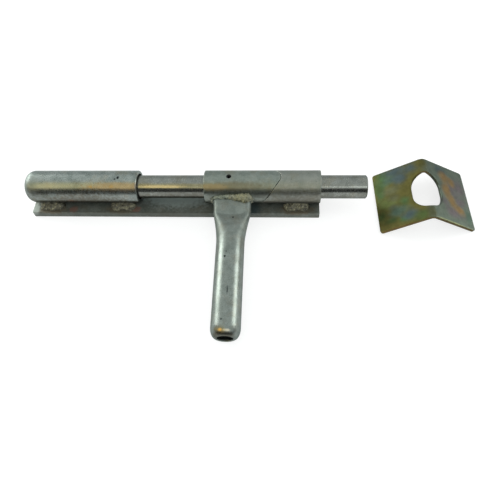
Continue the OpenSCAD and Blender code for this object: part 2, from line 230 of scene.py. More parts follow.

# %% Marks on the pieces
# Each is a place and three half sizes in millimetres, a tone, and how strongly it covers.
# Painted shade: low on the tubes a brown-grey tone darkens the lower side, where the floor they mirror lies
# in shade
LOW_PAINTED_SHADE = "#625F55"
TUBE_MARKS = (
    ((-76, -14, 2), (72, 30, 30), LOW_PAINTED_SHADE, 0.95),
    ((-76, 14, 2), (72, 30, 30), LOW_PAINTED_SHADE, 0.6),
    ((-43.3, -1.3, 32.8), (1.5, 1.7, 1.7), "#1E2224", 1.0),
    ((-45.6, -2.6, 32.6), (0.9, 1.0, 1.0), "#2A2E2F", 0.9),
    ((-65.5, -8.4, 30), (1.6, 1.4, 1.4), "#A08A55", 0.6),
    ((-47.9, -8.4, 30), (2.4, 1.6, 1.6), "#A08A55", 0.5),
    ((-85, -13.3, 17.5), (4.0, 2.5, 2.5), "#7A5E4C", 0.4),
    # Painted reflection: a warm tint and a pale grey tint along the band where the tube mirrors the room's
    # gold
    ((-42, -8.4, 29.5), (36, 5, 5), "#A2886A", 0.45),
    ((-98, -8.4, 29.5), (20, 5, 4), "#A4A9A4", 0.45),
    ((-109, -12.6, 24), (11, 5, 3.5), "#55574F", 0.5),
)
# Painted shade low on the guide tube
GUIDE_MARKS = (((103, -14, 2), (45, 30, 30), LOW_PAINTED_SHADE, 0.8), ((103, 14, 2), (45, 30, 30), LOW_PAINTED_SHADE, 0.6))
# All four collar marks are painted light: shade low on the collar, a darker tone and a golden tint on the
# band where it mirrors the room's gold, and the handle's shadow right of the neck
COLLAR_MARKS = (
    ((52, -14, 2), (45, 30, 31), "#57564D", 0.6),
    ((52, -9, 30.5), (36, 6, 4.5), "#66604E", 0.5),
    ((36, -8.6, 29.5), (16, 4, 4), "#9C8B68", 0.4),
    ((75, -12.6, 24), (9, 5, 4), "#4A4B45", 0.6),
)
ROD_MARKS = (
    # Painted shade low on the rod
    ((50, -14, 6), (180, 26, 24), LOW_PAINTED_SHADE, 0.72),
    # Painted highlight: a pale gold streak along the rod's upper side
    ((-8, -5.9, 26.9), (24, 1.7, 1.7), "#CBC1A6", 0.5),
)
HANDLE_MARKS = (
    ((53.0, -33.2, 22.0), (0.9, 1.5, 3.0), "#1D2322", 1.0),
    ((49.4, -70.9, 25.7), (1.0, 1.3, 3.0), "#1D2322", 1.0),
    ((50.3, -66.8, 26.2), (0.8, 0.8, 3.0), "#2C3231", 0.8),
    ((53.0, -98, 24.3), (0.7, 4.4, 3.0), "#39403E", 0.8),
    ((49.9, -120.4, 22.9), (0.9, 0.9, 3.0), "#2C3231", 0.9),
    ((50, -130.8, 19), (14, 2.8, 9.0), "#4A4436", 0.7),
    ((48.5, -127.5, 20), (4.5, 3.5, 9.0), "#6F6650", 0.5),
    # Painted highlights: a gold spot and a pale streak on the rolled end, where it mirrors the room's light
    ((49.2, -127.8, 22.9), (2.6, 1.4, 3.0), "#D0AE74", 0.8),
    ((54.6, -128, 22.9), (4.2, 1.2, 3.0), "#CFC8B0", 0.6),
)
# What seeped out of the seams browned the bar along both tubes
SEEPAGE = "#6B5C44"
BAR_MARKS = (
    *(((x, y, 6), (17, 6.0, 4), SEEPAGE, 0.6) for x in (-105, -44, 103) for y in (-14, 14)),
    ((-87, -14, 6), (5, 4, 4), "#8C6A5E", 0.7),
    ((-32, -14, 6), (5, 4, 4), "#8C6A5E", 0.6),
    # Painted light: the bar's left end, out of the tube's shadow, is lighter
    ((-121, -14, 6), (5.5, 8, 6), "#A4ACA5", 0.85),
    # Painted light: a pale tone lifts the rod's shadow on the bar's top
    ((2, 0, 6), (42, 14, 4), "#A2AEAA", 0.9),
    # Painted shade: the handle's shadow on the bar, right of the neck
    ((64, -13, 6), (13, 8, 4), "#46575A", 0.8),
    ((-10, -17.5, 3), (140, 2.2, 6), "#4A4D45", 0.5),
)
print("marks on tube, handle and bar:", len(TUBE_MARKS), len(HANDLE_MARKS), len(BAR_MARKS))

# %% Six pieces, six greys
tube_zinc = zinc_plate("zinc_plate_on_drawn_tube", "#949C98", "#7B8480", "#8E8874", gloss=0.29,
                       grain=1.4, turned=0.5, marks=TUBE_MARKS, dull=("X", -108, -120, 0.16))
guide_zinc = zinc_plate("zinc_plate_on_guide_tube", "#8D918A", "#80867F", "#87816E", gloss=0.4,
                        grain=1.5, marks=GUIDE_MARKS)
collar_zinc = zinc_plate("zinc_plate_on_collar", "#8A928B", "#79827B", "#7E7863", gloss=0.33,
                         grain=1.4, marks=COLLAR_MARKS)
rod_zinc = zinc_plate("zinc_plate_on_bright_bar", "#8B8F8A", "#767A75", "#847F6C", gloss=0.22, grain=0.9,
                      turned=1.0, marks=ROD_MARKS)
handle_zinc = zinc_plate("zinc_plate_on_handle", "#88908B", "#767E79", "#807B6D", gloss=0.32, grain=1.5,
                         marks=HANDLE_MARKS, dull=("Y", -66, -44, 0.2))
# The skin of hot rolling keeps the plating on the bar matt, so it is the least metallic
bar_zinc = zinc_plate("zinc_plate_on_rolled_bar", "#777C75", "#60665F", "#68604E", gloss=0.42, grain=1.6,
                      metallic=0.45, marks=BAR_MARKS)

# %% [markdown]
# ## Weld metal
# A weld bead cools in ripples, and spatter and scale make it rough. Plating takes badly on
# it, so it is a speckle of bare gold-green passivation, grey zinc and dark pores.

# %% The weld finish
# How dark the weld is at each value of the noise: first low on the bar, then on the neck
WELD_TONES = (
    ((0.36, "#3E3D34"), (0.46, "#5B5A4F"), (0.55, "#737161"), (0.61, "#8E8C74"), (0.67, "#B5B399"),
     (0.75, "#DAD9C2")),
    ((0.36, "#4A4A3C"), (0.45, "#76786A"), (0.52, "#8E9080"), (0.58, "#9C9878"), (0.64, "#B4B59E"),
     (0.72, "#DADBCC")),
)
# Grey zinc where the neck's bead began, and gold-green film where it ended
NECK_STAINS = (((41, -14.5, 24), (9, 7, 9), "#838D80", 0.7), ((59, -15, 24), (8, 6, 8), "#77744A", 0.35))


def weld_metal():
    """Dull blotches with pale flecks, in lighter tones higher up, on the neck's bead."""
    material, tree, place = blank("plated_weld_metal")
    # Slag and scale come in blots about 2.6 mm across, with flecks of 0.7 mm in them
    blots = add(tree, "TexNoise", {"Vector": place, "Scale": per_mm(2.6), "Detail": 5.0, "Roughness": 0.78})
    low, high = (add(tree, "ValToRGB", {"Fac": blots}) for _ in WELD_TONES)
    for ramp, tones in zip((low, high), WELD_TONES):
        stops = ramp.color_ramp.elements
        for _ in tones[len(stops):]:
            stops.new(0.5)
        for stop, (position, tone) in zip(stops, tones):
            stop.position = position
            stop.color = linear(tone)
    height = add(tree, "SeparateXYZ", {"Vector": place})
    higher_up = add(tree, "MapRange", {"Value": height.outputs["Z"], "From Min": 13 * MM, "From Max": 15 * MM})
    colour = add(tree, "Mix", {0: higher_up, 6: low, 7: high}, data_type="RGBA")
    stained = marked(tree, place, colour, NECK_STAINS)
    bumps = add(tree, "TexNoise", {"Vector": place, "Scale": per_mm(1.0), "Detail": 3.0, "Roughness": 0.7})
    raised = add(tree, "Bump", {"Height": bumps, "Strength": 1.0, "Distance": 0.3 * MM})
    shader = add(tree, "BsdfPrincipled", {"Base Color": stained, "Metallic": 0.4, "Roughness": 0.5,
                                          "Normal": raised})
    add(tree, "OutputMaterial", {"Surface": shader})
    print(f"{material.name}: {len(tree.nodes)} nodes")
    return material


weld_finish = weld_metal()

# %% [markdown]
# ## Yellow zinc
# The strike is passivated in a yellow chromate bath. Its film is about as thick as a
# wavelength of light, so it shows interference colours: olive and gold where it is thin,
# then purple, blue-grey and green as it thickens. The film pooled and drained, so its
# colours lie in large soft patches. A dozen film colours are enough. Each patch is listed
# with its place, and a slow noise warps its edge.

# %% Patches of the film
FILM = {"olive": "#605C32", "dark green": "#4A5A34", "green": "#4C6842", "pale green": "#76824E",
        "moss": "#64664A", "slate": "#4C5A5C", "teal": "#54685A", "grey green": "#667064",
        "purple": "#6C6466", "tan": "#88704A", "brown": "#6A5A38", "straw highlight": "#868A66"}
# Each patch is a place across and along the plate, two half sizes in millimetres, and a film
FILM_PATCHES = (
    ((177, 18), (7, 9), "green"), ((174, 5), (4, 9), "green"), ((173, 8), (3, 6), "dark green"),
    ((186, 22), (9, 7), "slate"), ((198, 21), (7, 6), "slate"), ((183, 4), (7, 6), "moss"),
    ((192, -2), (6, 7), "olive"), ((178, -8), (8, 6), "pale green"), ((191, -10), (4, 5), "green"),
    ((182, 15), (6, 5), "teal"), ((189, 14), (6, 6), "slate"), ((183, -4), (5, 4), "moss"),
    ((181, -25), (6, 4), "dark green"), ((189, -27), (5, 4), "green"), ((182, -13), (4, 3), "moss"),
    ((174, -19), (3.5, 6), "dark green"), ((186, -19), (9, 6), "teal"), ((194, -24), (8, 5), "slate"),
    ((180, -31), (14, 3), "olive"), ((181, -34), (17, 1.8), "brown"), ((201, -27), (6, 6), "dark green"),
    ((209, -27), (3, 5), "moss"), ((205, 23), (6, 6), "olive"), ((223, 21), (6, 5), "slate"),
    ((239, 8), (7, 11), "purple"), ((237, -7), (7, 6), "purple"), ((243, -19), (3.5, 9), "teal"),
    ((229, -20), (9, 6), "purple"), ((231, 4), (6, 8), "purple"), ((223, -13), (4, 6), "purple"),
    # Painted highlight: the thin straw strip along the right wing's lower edge stands for the light its
    # round edge catches
    ((228, -31.3), (17, 1.0), "straw highlight"), ((225, 14), (5, 7), "tan"),
    ((226, 1), (4.5, 9), "tan"), ((229, -9), (4.5, 7), "tan"), ((235, -16), (5, 5), "tan"),
    ((232, 11), (4, 5), "tan"),
)
print(f"{len(FILM_PATCHES)} patches of {len(FILM)} film colours")


# %% The strike's finish
def yellow_zinc():
    """Olive on the left wing and grey green on the right, under the patches and a fine grain, with painted
    shade over the right wing.
    """
    material, tree, place = blank("yellow_passivated_zinc")
    across = add(tree, "SeparateXYZ", {"Vector": place})
    side = add(tree, "MapRange", {"Value": across.outputs["X"], "From Min": 203 * MM, "From Max": 212 * MM})
    base = add(tree, "Mix", {0: side, 6: linear(FILM["olive"]), 7: linear(FILM["grey green"])},
               data_type="RGBA")
    # Each patch reaches right through the plate, from 28 mm below to 52 mm above the floor
    spots = [((x, y, 12), (*half, 40), FILM[tone], 0.95) for (x, y), half, tone in FILM_PATCHES]
    film = marked(tree, place, base, spots, ragged_mm=9, raggedness=1.3, inner=0.1, outer=1.4)
    # The faces that point to -y, the edges on the handle's side, are brown
    facing = add(tree, "SeparateXYZ", {"Vector": add(tree, "NewGeometry").outputs["Normal"]})
    sheared = add(tree, "MapRange", {"Value": facing.outputs["Y"], "From Min": -0.75, "From Max": -0.95,
                                     "To Max": 0.85})
    colour = add(tree, "Mix", {0: sheared, 6: film, 7: linear(FILM["brown"])}, data_type="RGBA")
    # Streaks and clouds of the drained film, about 5 mm across
    clouds = add(tree, "TexNoise", {"Vector": place, "Scale": per_mm(5), "Detail": 5.0, "Roughness": 0.65})
    depth = add(tree, "MapRange", {"Value": clouds, "From Min": 0.35, "From Max": 0.65, "To Min": 0.86,
                                   "To Max": 1.16})
    # Painted shade: the right wing is darkened, against the brighter light it catches from the right lamp
    right_wing_painted_shade = add(tree, "MapRange", {"Value": side, "To Min": 1.0, "To Max": 0.66})
    shade = add(tree, "Math", {0: depth, 1: right_wing_painted_shade}, operation="MULTIPLY")
    clouded = add(tree, "VectorMath", {0: colour, "Scale": shade}, operation="SCALE")
    grain = add(tree, "TexNoise", {"Vector": place, "Scale": per_mm(0.8), "Detail": 3.0})
    rough = add(tree, "MapRange", {"Value": grain, "To Min": 0.28, "To Max": 0.44})
    raised = add(tree, "Bump", {"Height": grain, "Strength": 1.0, "Distance": 0.015 * MM})
    shader = add(tree, "BsdfPrincipled", {"Base Color": clouded, "Metallic": 0.85, "Roughness": rough,
                                          "Specular Tint": linear(EDGE_TINT), "Normal": raised})
    add(tree, "OutputMaterial", {"Surface": shader})
    print(f"{material.name}: {len(tree.nodes)} nodes")
    return material


strike_finish = yellow_zinc()

# %% [markdown]
# ## The camera
# The photograph looks down at 58 degrees from the handle's side, turned a little to the
# left and rolled a little clockwise. The lens comes from the perspective that the
# outlines of the bar, the tubes and the strike show together.

# %% The photograph's view
CAMERA_AIM = Vector((67.58, -61.45, 19.45)) * MM
CAMERA_DISTANCE = 385.09 * MM
CAMERA_ELEVATION = math.radians(58.39)
CAMERA_YAW = math.radians(7.536)
CAMERA_ROLL = math.radians(5.88)
LENS_MM = 36.21
SENSOR_MM = 36.0

level = math.cos(CAMERA_ELEVATION)
look = Vector((-math.sin(CAMERA_YAW) * level, math.cos(CAMERA_YAW) * level, -math.sin(CAMERA_ELEVATION)))
camera = bpy.data.objects.new("camera", bpy.data.cameras.new("camera"))
camera.data.lens = LENS_MM
camera.data.sensor_width = SENSOR_MM
camera.data.clip_start = 10 * MM
camera.data.clip_end = 100.0
facing = look.to_track_quat("-Z", "Y").to_matrix() @ Matrix.Rotation(-CAMERA_ROLL, 3, "Z")
camera.matrix_world = Matrix.Translation(CAMERA_AIM - look * CAMERA_DISTANCE) @ facing.to_4x4()
bpy.context.scene.collection.objects.link(camera)
bpy.context.scene.camera = camera
print("camera at", [round(v / MM, 1) for v in camera.location])

# %% [markdown]
# ## The room
# Metal shows its room. The tubes show a cool pale ceiling, which turns golden above the
# camera's left, and a dark band under it, which is the unlit side of the room. The handle
# lies across them and shows two pale bands, from a soft lamp on each side. So the room is
# built for the metal: a pale world with those two stretches, and three soft lamps.

# %% The world
# What the metal sees of the room, in linear light
SIDES = (0.66, 0.69, 0.7, 1)
OVERHEAD = (0.86, 0.9, 0.89, 1)
GOLD_ABOVE = (1.15, 1.0, 0.56, 1)
GOLD_BELOW = (1.75, 1.5, 0.86, 1)
UNLIT = (0.03, 0.028, 0.026, 1)
UNLIT_SLANT = -0.35
WHITE = (1, 1, 1, 1)


def studio_world():
    """Pale overhead. Mirror rays also see gold on the camera's upper left and a dark stretch
    low on the camera's side, and the camera itself sees white. Steepness is how far a
    direction leans to the camera's side, -y / z: 0 is straight up and 1 is halfway down."""
    world = bpy.data.worlds.new("studio")
    world.use_nodes = True
    tree = world.node_tree
    tree.nodes.clear()
    direction = add(tree, "SeparateXYZ", {"Vector": add(tree, "TexCoord").outputs["Generated"]})
    x, y, z = (direction.outputs[axis] for axis in "XYZ")
    # Below the horizon z counts as almost 0, so that nothing is divided by 0 or less
    height = add(tree, "Math", {0: z, 1: 0.001}, operation="MAXIMUM")
    lean = add(tree, "Math", {0: y, 1: height}, operation="DIVIDE")
    steepness = add(tree, "Math", {0: lean, 1: -1.0}, operation="MULTIPLY")
    # The unlit stretch begins higher up on the left
    slanted = add(tree, "Math", {0: x, 1: UNLIT_SLANT, 2: steepness}, operation="MULTIPLY_ADD")
    # Each fade goes smoothly from 0 to 1 as its measure goes from one value to the other
    fade = {}
    for name, measure, empty, full in (
            ("off the far wall", steepness, -1.6, -1.0), ("high", z, 0.3, 0.6),
            ("towards the camera", steepness, 0.02, 0.3), ("left", x, 0.0, -0.14),
            ("deep in the gold", steepness, 0.5, 1.1),
            ("under the gold", slanted, 1.2, 1.56), ("on the camera's side", y, 0.0, -0.1)):
        fade[name] = add(tree, "MapRange", {"Value": measure, "From Min": empty, "From Max": full},
                         interpolation_type="SMOOTHSTEP")
    path = add(tree, "LightPath")
    fade["mirrored"] = path.outputs["Is Glossy Ray"]
    gold = add(tree, "Mix", {0: fade["deep in the gold"], 6: GOLD_ABOVE, 7: GOLD_BELOW},
               data_type="RGBA")
    # Each colour covers the ones before it as far as all of its fades allow
    room = SIDES
    for colour, fades in ((OVERHEAD, ("off the far wall", "high")),
                          (gold, ("towards the camera", "left", "mirrored")),
                          (UNLIT, ("under the gold", "on the camera's side", "mirrored"))):
        share = 1.0
        for name in fades:
            share = add(tree, "Math", {0: share, 1: fade[name]}, operation="MULTIPLY")
        room = add(tree, "Mix", {0: share, 6: room, 7: colour}, data_type="RGBA")
    shown = add(tree, "Mix", {0: path.outputs["Is Camera Ray"], 6: room, 7: WHITE}, data_type="RGBA")
    light = add(tree, "Background", {"Color": shown, "Strength": 1.0})
    add(tree, "OutputWorld", {"Surface": light})
    bpy.context.scene.world = world
    print(f"{world.name}: {len(tree.nodes)} nodes")


studio_world()


# %% The lamps
def soft_lamp(name, aim, bearing, elevation, distance, size, radiance, colour):
    """A rectangular lamp that faces its aim. Its power is radiance * pi * area."""
    lamp = bpy.data.lights.new(name, "AREA")
    lamp.shape = "RECTANGLE"
    lamp.size, lamp.size_y = size
    lamp.energy = radiance * math.pi * size[0] * size[1]
    lamp.color = linear(colour)[:3]
    level = math.cos(elevation)
    away = Vector((math.sin(bearing) * level, -math.cos(bearing) * level, math.sin(elevation)))
    holder = bpy.data.objects.new(name, lamp)
    holder.matrix_world = (Matrix.Translation(aim + away * distance)
                           @ away.to_track_quat("Z", "Y").to_matrix().to_4x4())
    bpy.context.scene.collection.objects.link(holder)
    print(f"{name}: {lamp.energy:.2f} W")


MIDDLE = Vector((0.03, 0, AXIS_Z))
BEYOND_TIP = Vector((0.3, 0, AXIS_Z))
soft_lamp("tip_lamp", BEYOND_TIP, bearing=0, elevation=math.radians(50), distance=0.8,
          size=(0.2, 0.12), radiance=2.5, colour="#FFFFFF")
soft_lamp("left_lamp", MIDDLE, bearing=math.radians(-118), elevation=math.radians(18), distance=0.9,
          size=(0.5, 0.46), radiance=5.6, colour="#FFFFFA")
soft_lamp("right_lamp", MIDDLE, bearing=math.radians(104), elevation=math.radians(19), distance=0.9,
          size=(0.3, 0.4), radiance=5.4, colour="#FFFFFA")

# %% [markdown]
# ## Helpers for shapes
# A surface here is a grid of points, worked out by numpy as whole arrays. One function
# joins any grid into quads, so that a piece needs no more than a formula for its points.

# %% From a grid of points to a piece
MERGE_DISTANCE = 0.001 * MM


def surface(name, points, loop_rows=False, loop_cols=True):
    """Joins a grid of points into quads: point (i, j) meets (i + 1, j), (i + 1, j + 1) and
    (i, j + 1). Points that coincide, as at a pole, become one, and faces turn outwards."""
    rows, cols = points.shape[:2]
    index = np.arange(rows * cols).reshape(rows, cols)
    if loop_rows:
        index = np.vstack([index, index[:1]])
    if loop_cols:
        index = np.hstack([index, index[:, :1]])
    quads = np.stack([index[:-1, :-1], index[1:, :-1], index[1:, 1:], index[:-1, 1:]], axis=-1)
    mesh = bpy.data.meshes.new(name)
    mesh.from_pydata(points.reshape(-1, 3).tolist(), [], quads.reshape(-1, 4).tolist())
    work = bmesh.new()
    work.from_mesh(mesh)
    bmesh.ops.remove_doubles(work, verts=work.verts, dist=MERGE_DISTANCE)
    bmesh.ops.recalc_face_normals(work, faces=work.faces)
    work.to_mesh(mesh)
    work.free()
    mesh.shade_smooth()
    piece = bpy.data.objects.new(name, mesh)
    bpy.context.scene.collection.objects.link(piece)
    print(f"{name}: {len(mesh.polygons)} faces")
    return piece


def even_shading(piece):
    """Lets the large faces set the normals, so that a round edge doesn't shade its flats."""
    piece.modifiers.new("Even shading", "WEIGHTED_NORMAL").keep_sharp = True
    return piece


def dress(piece, material):
    """Gives every face of the piece the one material."""
    mesh = piece.data
    mesh.materials.clear()
    mesh.materials.append(material)
    mesh.polygons.foreach_set("material_index", [0] * len(mesh.polygons))


print(f"points less than {MERGE_DISTANCE / MM} mm apart become one")

# %% [markdown]
# ## The floor
# A plain pale floor. Where only the camera or a reflection looks at it, a little light is
# added to its colour so that it comes out white, and it still keeps the lock's shadow. It
# ends in front of the picture, as a table does. The white beyond it hides that edge, but
# the tubes mirror the dark of the room there.

# %% Floor
# A darker paint keeps the shadow deep enough, and the glow lifts the rest to white
FLOOR_PAINT = "#A4A4A4"
FLOOR_GLOW = 0.73


def floor_paint():
    """Matt paint, with a glow that only camera, mirror and glass rays see."""
    material, tree, _ = blank("matt_white_paint")
    matt = add(tree, "BsdfDiffuse", {"Color": linear(FLOOR_PAINT)})
    path = add(tree, "LightPath")
    mirrored = add(tree, "Math", {0: path.outputs["Is Camera Ray"], 1: path.outputs["Is Glossy Ray"]},
                   operation="MAXIMUM")
    seen = add(tree, "Math", {0: mirrored, 1: path.outputs["Is Transmission Ray"]}, operation="MAXIMUM")
    glow = add(tree, "Math", {0: seen, 1: FLOOR_GLOW}, operation="MULTIPLY")
    light = add(tree, "Emission", {"Color": WHITE, "Strength": glow})
    both = add(tree, "AddShader", {0: matt, 1: light})
    add(tree, "OutputMaterial", {"Surface": both})
    print(f"{material.name}: {len(tree.nodes)} nodes")
    return material


FLOOR_FAR = 6.0
FLOOR_NEAR = 0.25
FLOOR_DROP = 0.05 * MM
floor_x, floor_y = np.meshgrid([-FLOOR_FAR, FLOOR_FAR], [-FLOOR_NEAR, FLOOR_FAR], indexing="ij")
floor = surface("floor", np.stack([floor_x, floor_y, np.full_like(floor_x, -FLOOR_DROP)], axis=-1),
                loop_cols=False)
dress(floor, floor_paint())

# %% [markdown]
# ## Round corners and turned shapes
# No edge of a real pressing or sawn tube is sharp, and the narrow round along it is what
# catches the light. So one function rounds the corners of any outline, and another carries
# a profile round the bolt.


# %% Round corners
def rounded(corners, reach, steps=5):
    """Rounds every corner of a closed outline. Between one reach before a corner and one
    reach after it the line is corner + (1 - s)^2 * reach * back + s^2 * reach * ahead."""
    back = np.roll(corners, 1, axis=-2) - corners
    ahead = np.roll(corners, -1, axis=-2) - corners
    back = back / np.linalg.norm(back, axis=-1, keepdims=True)
    ahead = ahead / np.linalg.norm(ahead, axis=-1, keepdims=True)
    s = np.linspace(0, 1, steps)[:, None]
    curve = (1 - s) ** 2 * back[..., None, :] + s ** 2 * ahead[..., None, :]
    points = corners[..., None, :] + np.reshape(reach, (-1, 1, 1)) * curve
    return points.reshape(*corners.shape[:-2], -1, corners.shape[-1])


unit_square = np.array([[0, 0], [1, 0], [1, 1], [0, 1]])
print("a rounded corner of a unit square:", rounded(unit_square, 0.1)[:5].round(3).tolist())


# %% Turned shapes
def around_bolt(x, r, angle):
    """A point at distance r from the bolt axis and at an angle from the top, towards the
    handle's side: (x, -r * sin(angle), axis + r * cos(angle))."""
    x, r, angle = np.broadcast_arrays(x, r, angle)
    return np.stack([x, -r * np.sin(angle), AXIS_Z + r * np.cos(angle)], axis=-1)


def turn(columns):
    """Angles all the way round, without the last one, which is the first again."""
    return np.linspace(0, 2 * np.pi, columns, endpoint=False)


print("a quarter of the way round the tube, in mm:", (around_bolt(0, TUBE_R, turn(4)[1]) / MM).round(2))

# %% [markdown]
# ## The rear tube
# Drawn tube with one end spun shut over a former, which leaves a dome with a small flat in
# its middle. It could be a cylinder with a bevel, but a turned profile also gives the real
# wall, the bore behind the mouth and the rolled lip, with no seam.

# %% Rear tube
REAR_WALL = 2.6 * MM
DOME_R = 8 * MM
# How far the lip was rolled outside and inside
LIP_OUTSIDE = 1.3 * MM
LIP_INSIDE = 0.35 * MM
LIP_STEPS = 7


def rear_tube(columns=128):
    """A profile turned about the bolt axis: out over the dome, along the wall, round the
    mouth and back inside. On the dome, r = flat + radius * sin(t), t from 0 to 90 degrees."""
    t = np.linspace(0, np.pi / 2, 15)
    flat_r = TUBE_R - DOME_R
    inner_r = DOME_R - REAR_WALL
    far = DOME_X + DOME_R
    corners = np.array([[far, TUBE_R], [REAR_MOUTH_X, TUBE_R], [REAR_MOUTH_X, TUBE_R - REAR_WALL],
                        [far, TUBE_R - REAR_WALL]])
    # Only the second and the third of these corners are at the mouth
    mouth = rounded(corners, (0, LIP_OUTSIDE, LIP_INSIDE, 0), LIP_STEPS)[LIP_STEPS:3 * LIP_STEPS]
    x = np.concatenate([[DOME_X], far - DOME_R * np.cos(t), mouth[:, 0], far - inner_r * np.cos(t[::-1]),
                        [far - inner_r]])
    r = np.concatenate([[0], flat_r + DOME_R * np.sin(t), mouth[:, 1], flat_r + inner_r * np.sin(t[::-1]),
                        [0]])
    return even_shading(surface("spring_housing", around_bolt(x[:, None], r[:, None], turn(columns))))


housing_tube = rear_tube()
dress(housing_tube, tube_zinc)
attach(housing_tube, "housing")
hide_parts("rear_tube")

# %% [markdown]
# ## The cam
# The collar and the front tube are one tube, sawn through along a screw line, so that
# turning the collar pushes it back. The cut drops by the same amount for each degree on
# both sides of its peak and is rounded over at the peak and at the valley.

# %% The cam's curve
CAM_GAP = 0.4 * MM
CAM_ROUND = math.radians(20)
CAM_DEPTH = CAM_PEAK_X + CAM_GAP - front_lo.x
CAM_LEAD = CAM_DEPTH / (math.pi - CAM_ROUND)


def cam_drop(angle):
    """How far the cam lies behind its peak: lead * turn on the helix, and
    lead * turn^2 / (2 * round) on the parabolas at the peak and at the valley."""
    turned = np.abs((angle + np.pi) % (2 * np.pi) - np.pi)
    peak = CAM_LEAD * turned ** 2 / (2 * CAM_ROUND)
    valley = CAM_DEPTH - CAM_LEAD * (np.pi - turned) ** 2 / (2 * CAM_ROUND)
    helix = CAM_LEAD * (turned - CAM_ROUND / 2)
    return np.where(turned < CAM_ROUND, peak, np.where(turned > np.pi - CAM_ROUND, valley, helix))


sleeve_turn = turn(192)
cam = cam_drop(sleeve_turn)
print(f"the cam drops {cam.max() / MM:.1f} mm in half a turn, {CAM_LEAD / MM:.2f} mm for each radian")


# %% Front tube
def sleeve(name, rear_x, front_x, bore_r, edges):
    """A tube whose ends may wave: at each angle its section is a rectangle from rear to
    front and from bore to outside, with its corners rounded, carried round the bolt. Edges
    gives the four roundings in millimetres: rear and front outside, front and rear inside."""
    rear_x, front_x, _ = np.broadcast_arrays(rear_x, front_x, sleeve_turn)
    wall = [(rear_x, TUBE_R), (front_x, TUBE_R), (front_x, bore_r), (rear_x, bore_r)]
    corners = np.stack([np.stack([x, np.full(len(x), r)], axis=-1) for x, r in wall], axis=1)
    section = rounded(corners, np.array(edges) * MM)
    x, r = section[..., 0].T, section[..., 1].T
    return surface(name, around_bolt(x, r, sleeve_turn), loop_rows=True)


ROD_CLEARANCE = 0.08 * MM
guide = sleeve("guide_tube", CAM_PEAK_X + CAM_GAP - cam, MOUTH_X, ROD_R + ROD_CLEARANCE,
               (0.5, 0.6, 0.4, 0.15))
even_shading(guide)
dress(guide, guide_zinc)
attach(guide, "housing")
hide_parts("front_tube")

# %% [markdown]
# ## The collar
# The same sleeve with the matching cam, drilled right through for the roll pin. The hole
# is cut with a Boolean modifier, because a grid can't hold a hole, and a small bevel
# breaks its rim as a drill's burr being filed off does.

# %% Collar
COLLAR_CLEARANCE = 0.05 * MM
PIN_X = COLLAR_X + 20.5 * MM
PIN_HOLE_R = 2.1 * MM
PIN_RIM = 0.25 * MM
DRILL_REACH = 20 * MM


def drilled(piece, cutter, rim):
    """Cuts the cutter out of the piece, bevels the new rim and keeps the finished mesh. The
    sleeve's own edges are round already, so only the rim is sharper than 50 degrees."""
    cut = piece.modifiers.new("Pin hole", "BOOLEAN")
    cut.object = cutter
    cut.solver = "EXACT"
    bevel = piece.modifiers.new("Rim", "BEVEL")
    bevel.width = rim
    bevel.segments = 2
    bevel.limit_method = "ANGLE"
    bevel.angle_limit = math.radians(50)
    finished = bpy.data.meshes.new_from_object(piece.evaluated_get(bpy.context.evaluated_depsgraph_get()))
    piece.modifiers.clear()
    piece.data = finished
    bpy.data.objects.remove(cutter)
    finished.shade_smooth()
    print(f"{piece.name}: {len(finished.polygons)} faces after drilling")
    return piece


collar = sleeve("cam_collar_sleeve", COLLAR_X, CAM_PEAK_X - cam, ROD_R + COLLAR_CLEARANCE,
                (0.6, 0.3, 0.15, 0.3))
drill_turn = turn(48)
drill_r = np.array([0, PIN_HOLE_R, PIN_HOLE_R, 0])[:, None]
drill_z = AXIS_Z + DRILL_REACH * np.array([-1, -1, 1, 1])[:, None]
drill = surface("drill", np.stack(np.broadcast_arrays(
    PIN_X + drill_r * np.cos(drill_turn), drill_r * np.sin(drill_turn), drill_z), axis=-1))
even_shading(drilled(collar, drill, PIN_RIM))
dress(collar, collar_zinc)
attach(collar, "bolt")
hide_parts("cam_collar")

# %% [markdown]
# ## The mounting bar
# Hot-rolled flat bar, sheared to length, with its corners ground off. Rolling leaves its
# long edges slightly round. It is a stack of outlines: each is the bar's plan drawn in by
# an inset, and the insets follow a quarter circle at the top and at the bottom edge.

# %% Bar
BAR_CORNER = 0.5 * MM
BAR_CORNER_ROUND = 0.2 * MM
BAR_EDGE = 0.35 * MM


def bar_outline(inset, half_l, half_w, z):
    """The plan of the bar at a height z, drawn in by an inset: its four corners are ground
    off, and the eight corners that leaves are rounded."""
    x, y, c = half_l - inset, half_w - inset, BAR_CORNER
    corners = np.array([[-x + c, -y], [x - c, -y], [x, -y + c], [x, y - c], [x - c, y], [-x + c, y],
                        [-x, y - c], [-x, -y + c]])
    outline = rounded(corners, BAR_CORNER_ROUND)
    return np.column_stack([outline, np.full(len(outline), z)])


def mounting_bar():
    """Outlines stacked from the bottom to the top, where the first and the last shrink to a
    line. Round the lower edge inset = edge * (1 - sin(t)) and height = edge * (1 - cos(t)),
    t from 0 to 90 degrees, and round the upper edge the two change places."""
    lo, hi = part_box("mounting_bar")
    half_l, half_w = hi.x, hi.y
    t = np.linspace(0, np.pi / 2, 5)
    inset = np.concatenate([BAR_EDGE * (1 - np.sin(t)), BAR_EDGE * (1 - np.cos(t))])
    height = np.concatenate([lo.z + BAR_EDGE * (1 - np.cos(t)), hi.z - BAR_EDGE * (1 - np.sin(t))])
    rings = [bar_outline(i, half_l, half_w, z) for i, z in zip(inset, height)]
    spine = rings[0] * (1, 0, 1)
    spine[:, 0] = np.clip(spine[:, 0], half_w - half_l, half_l - half_w)
    top_spine = spine + (0, 0, hi.z - lo.z)
    return even_shading(surface("flat_bar", np.stack([spine, *rings, top_spine])))


bar = mounting_bar()
dress(bar, bar_zinc)
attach(bar, "housing")
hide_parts("mounting_bar")

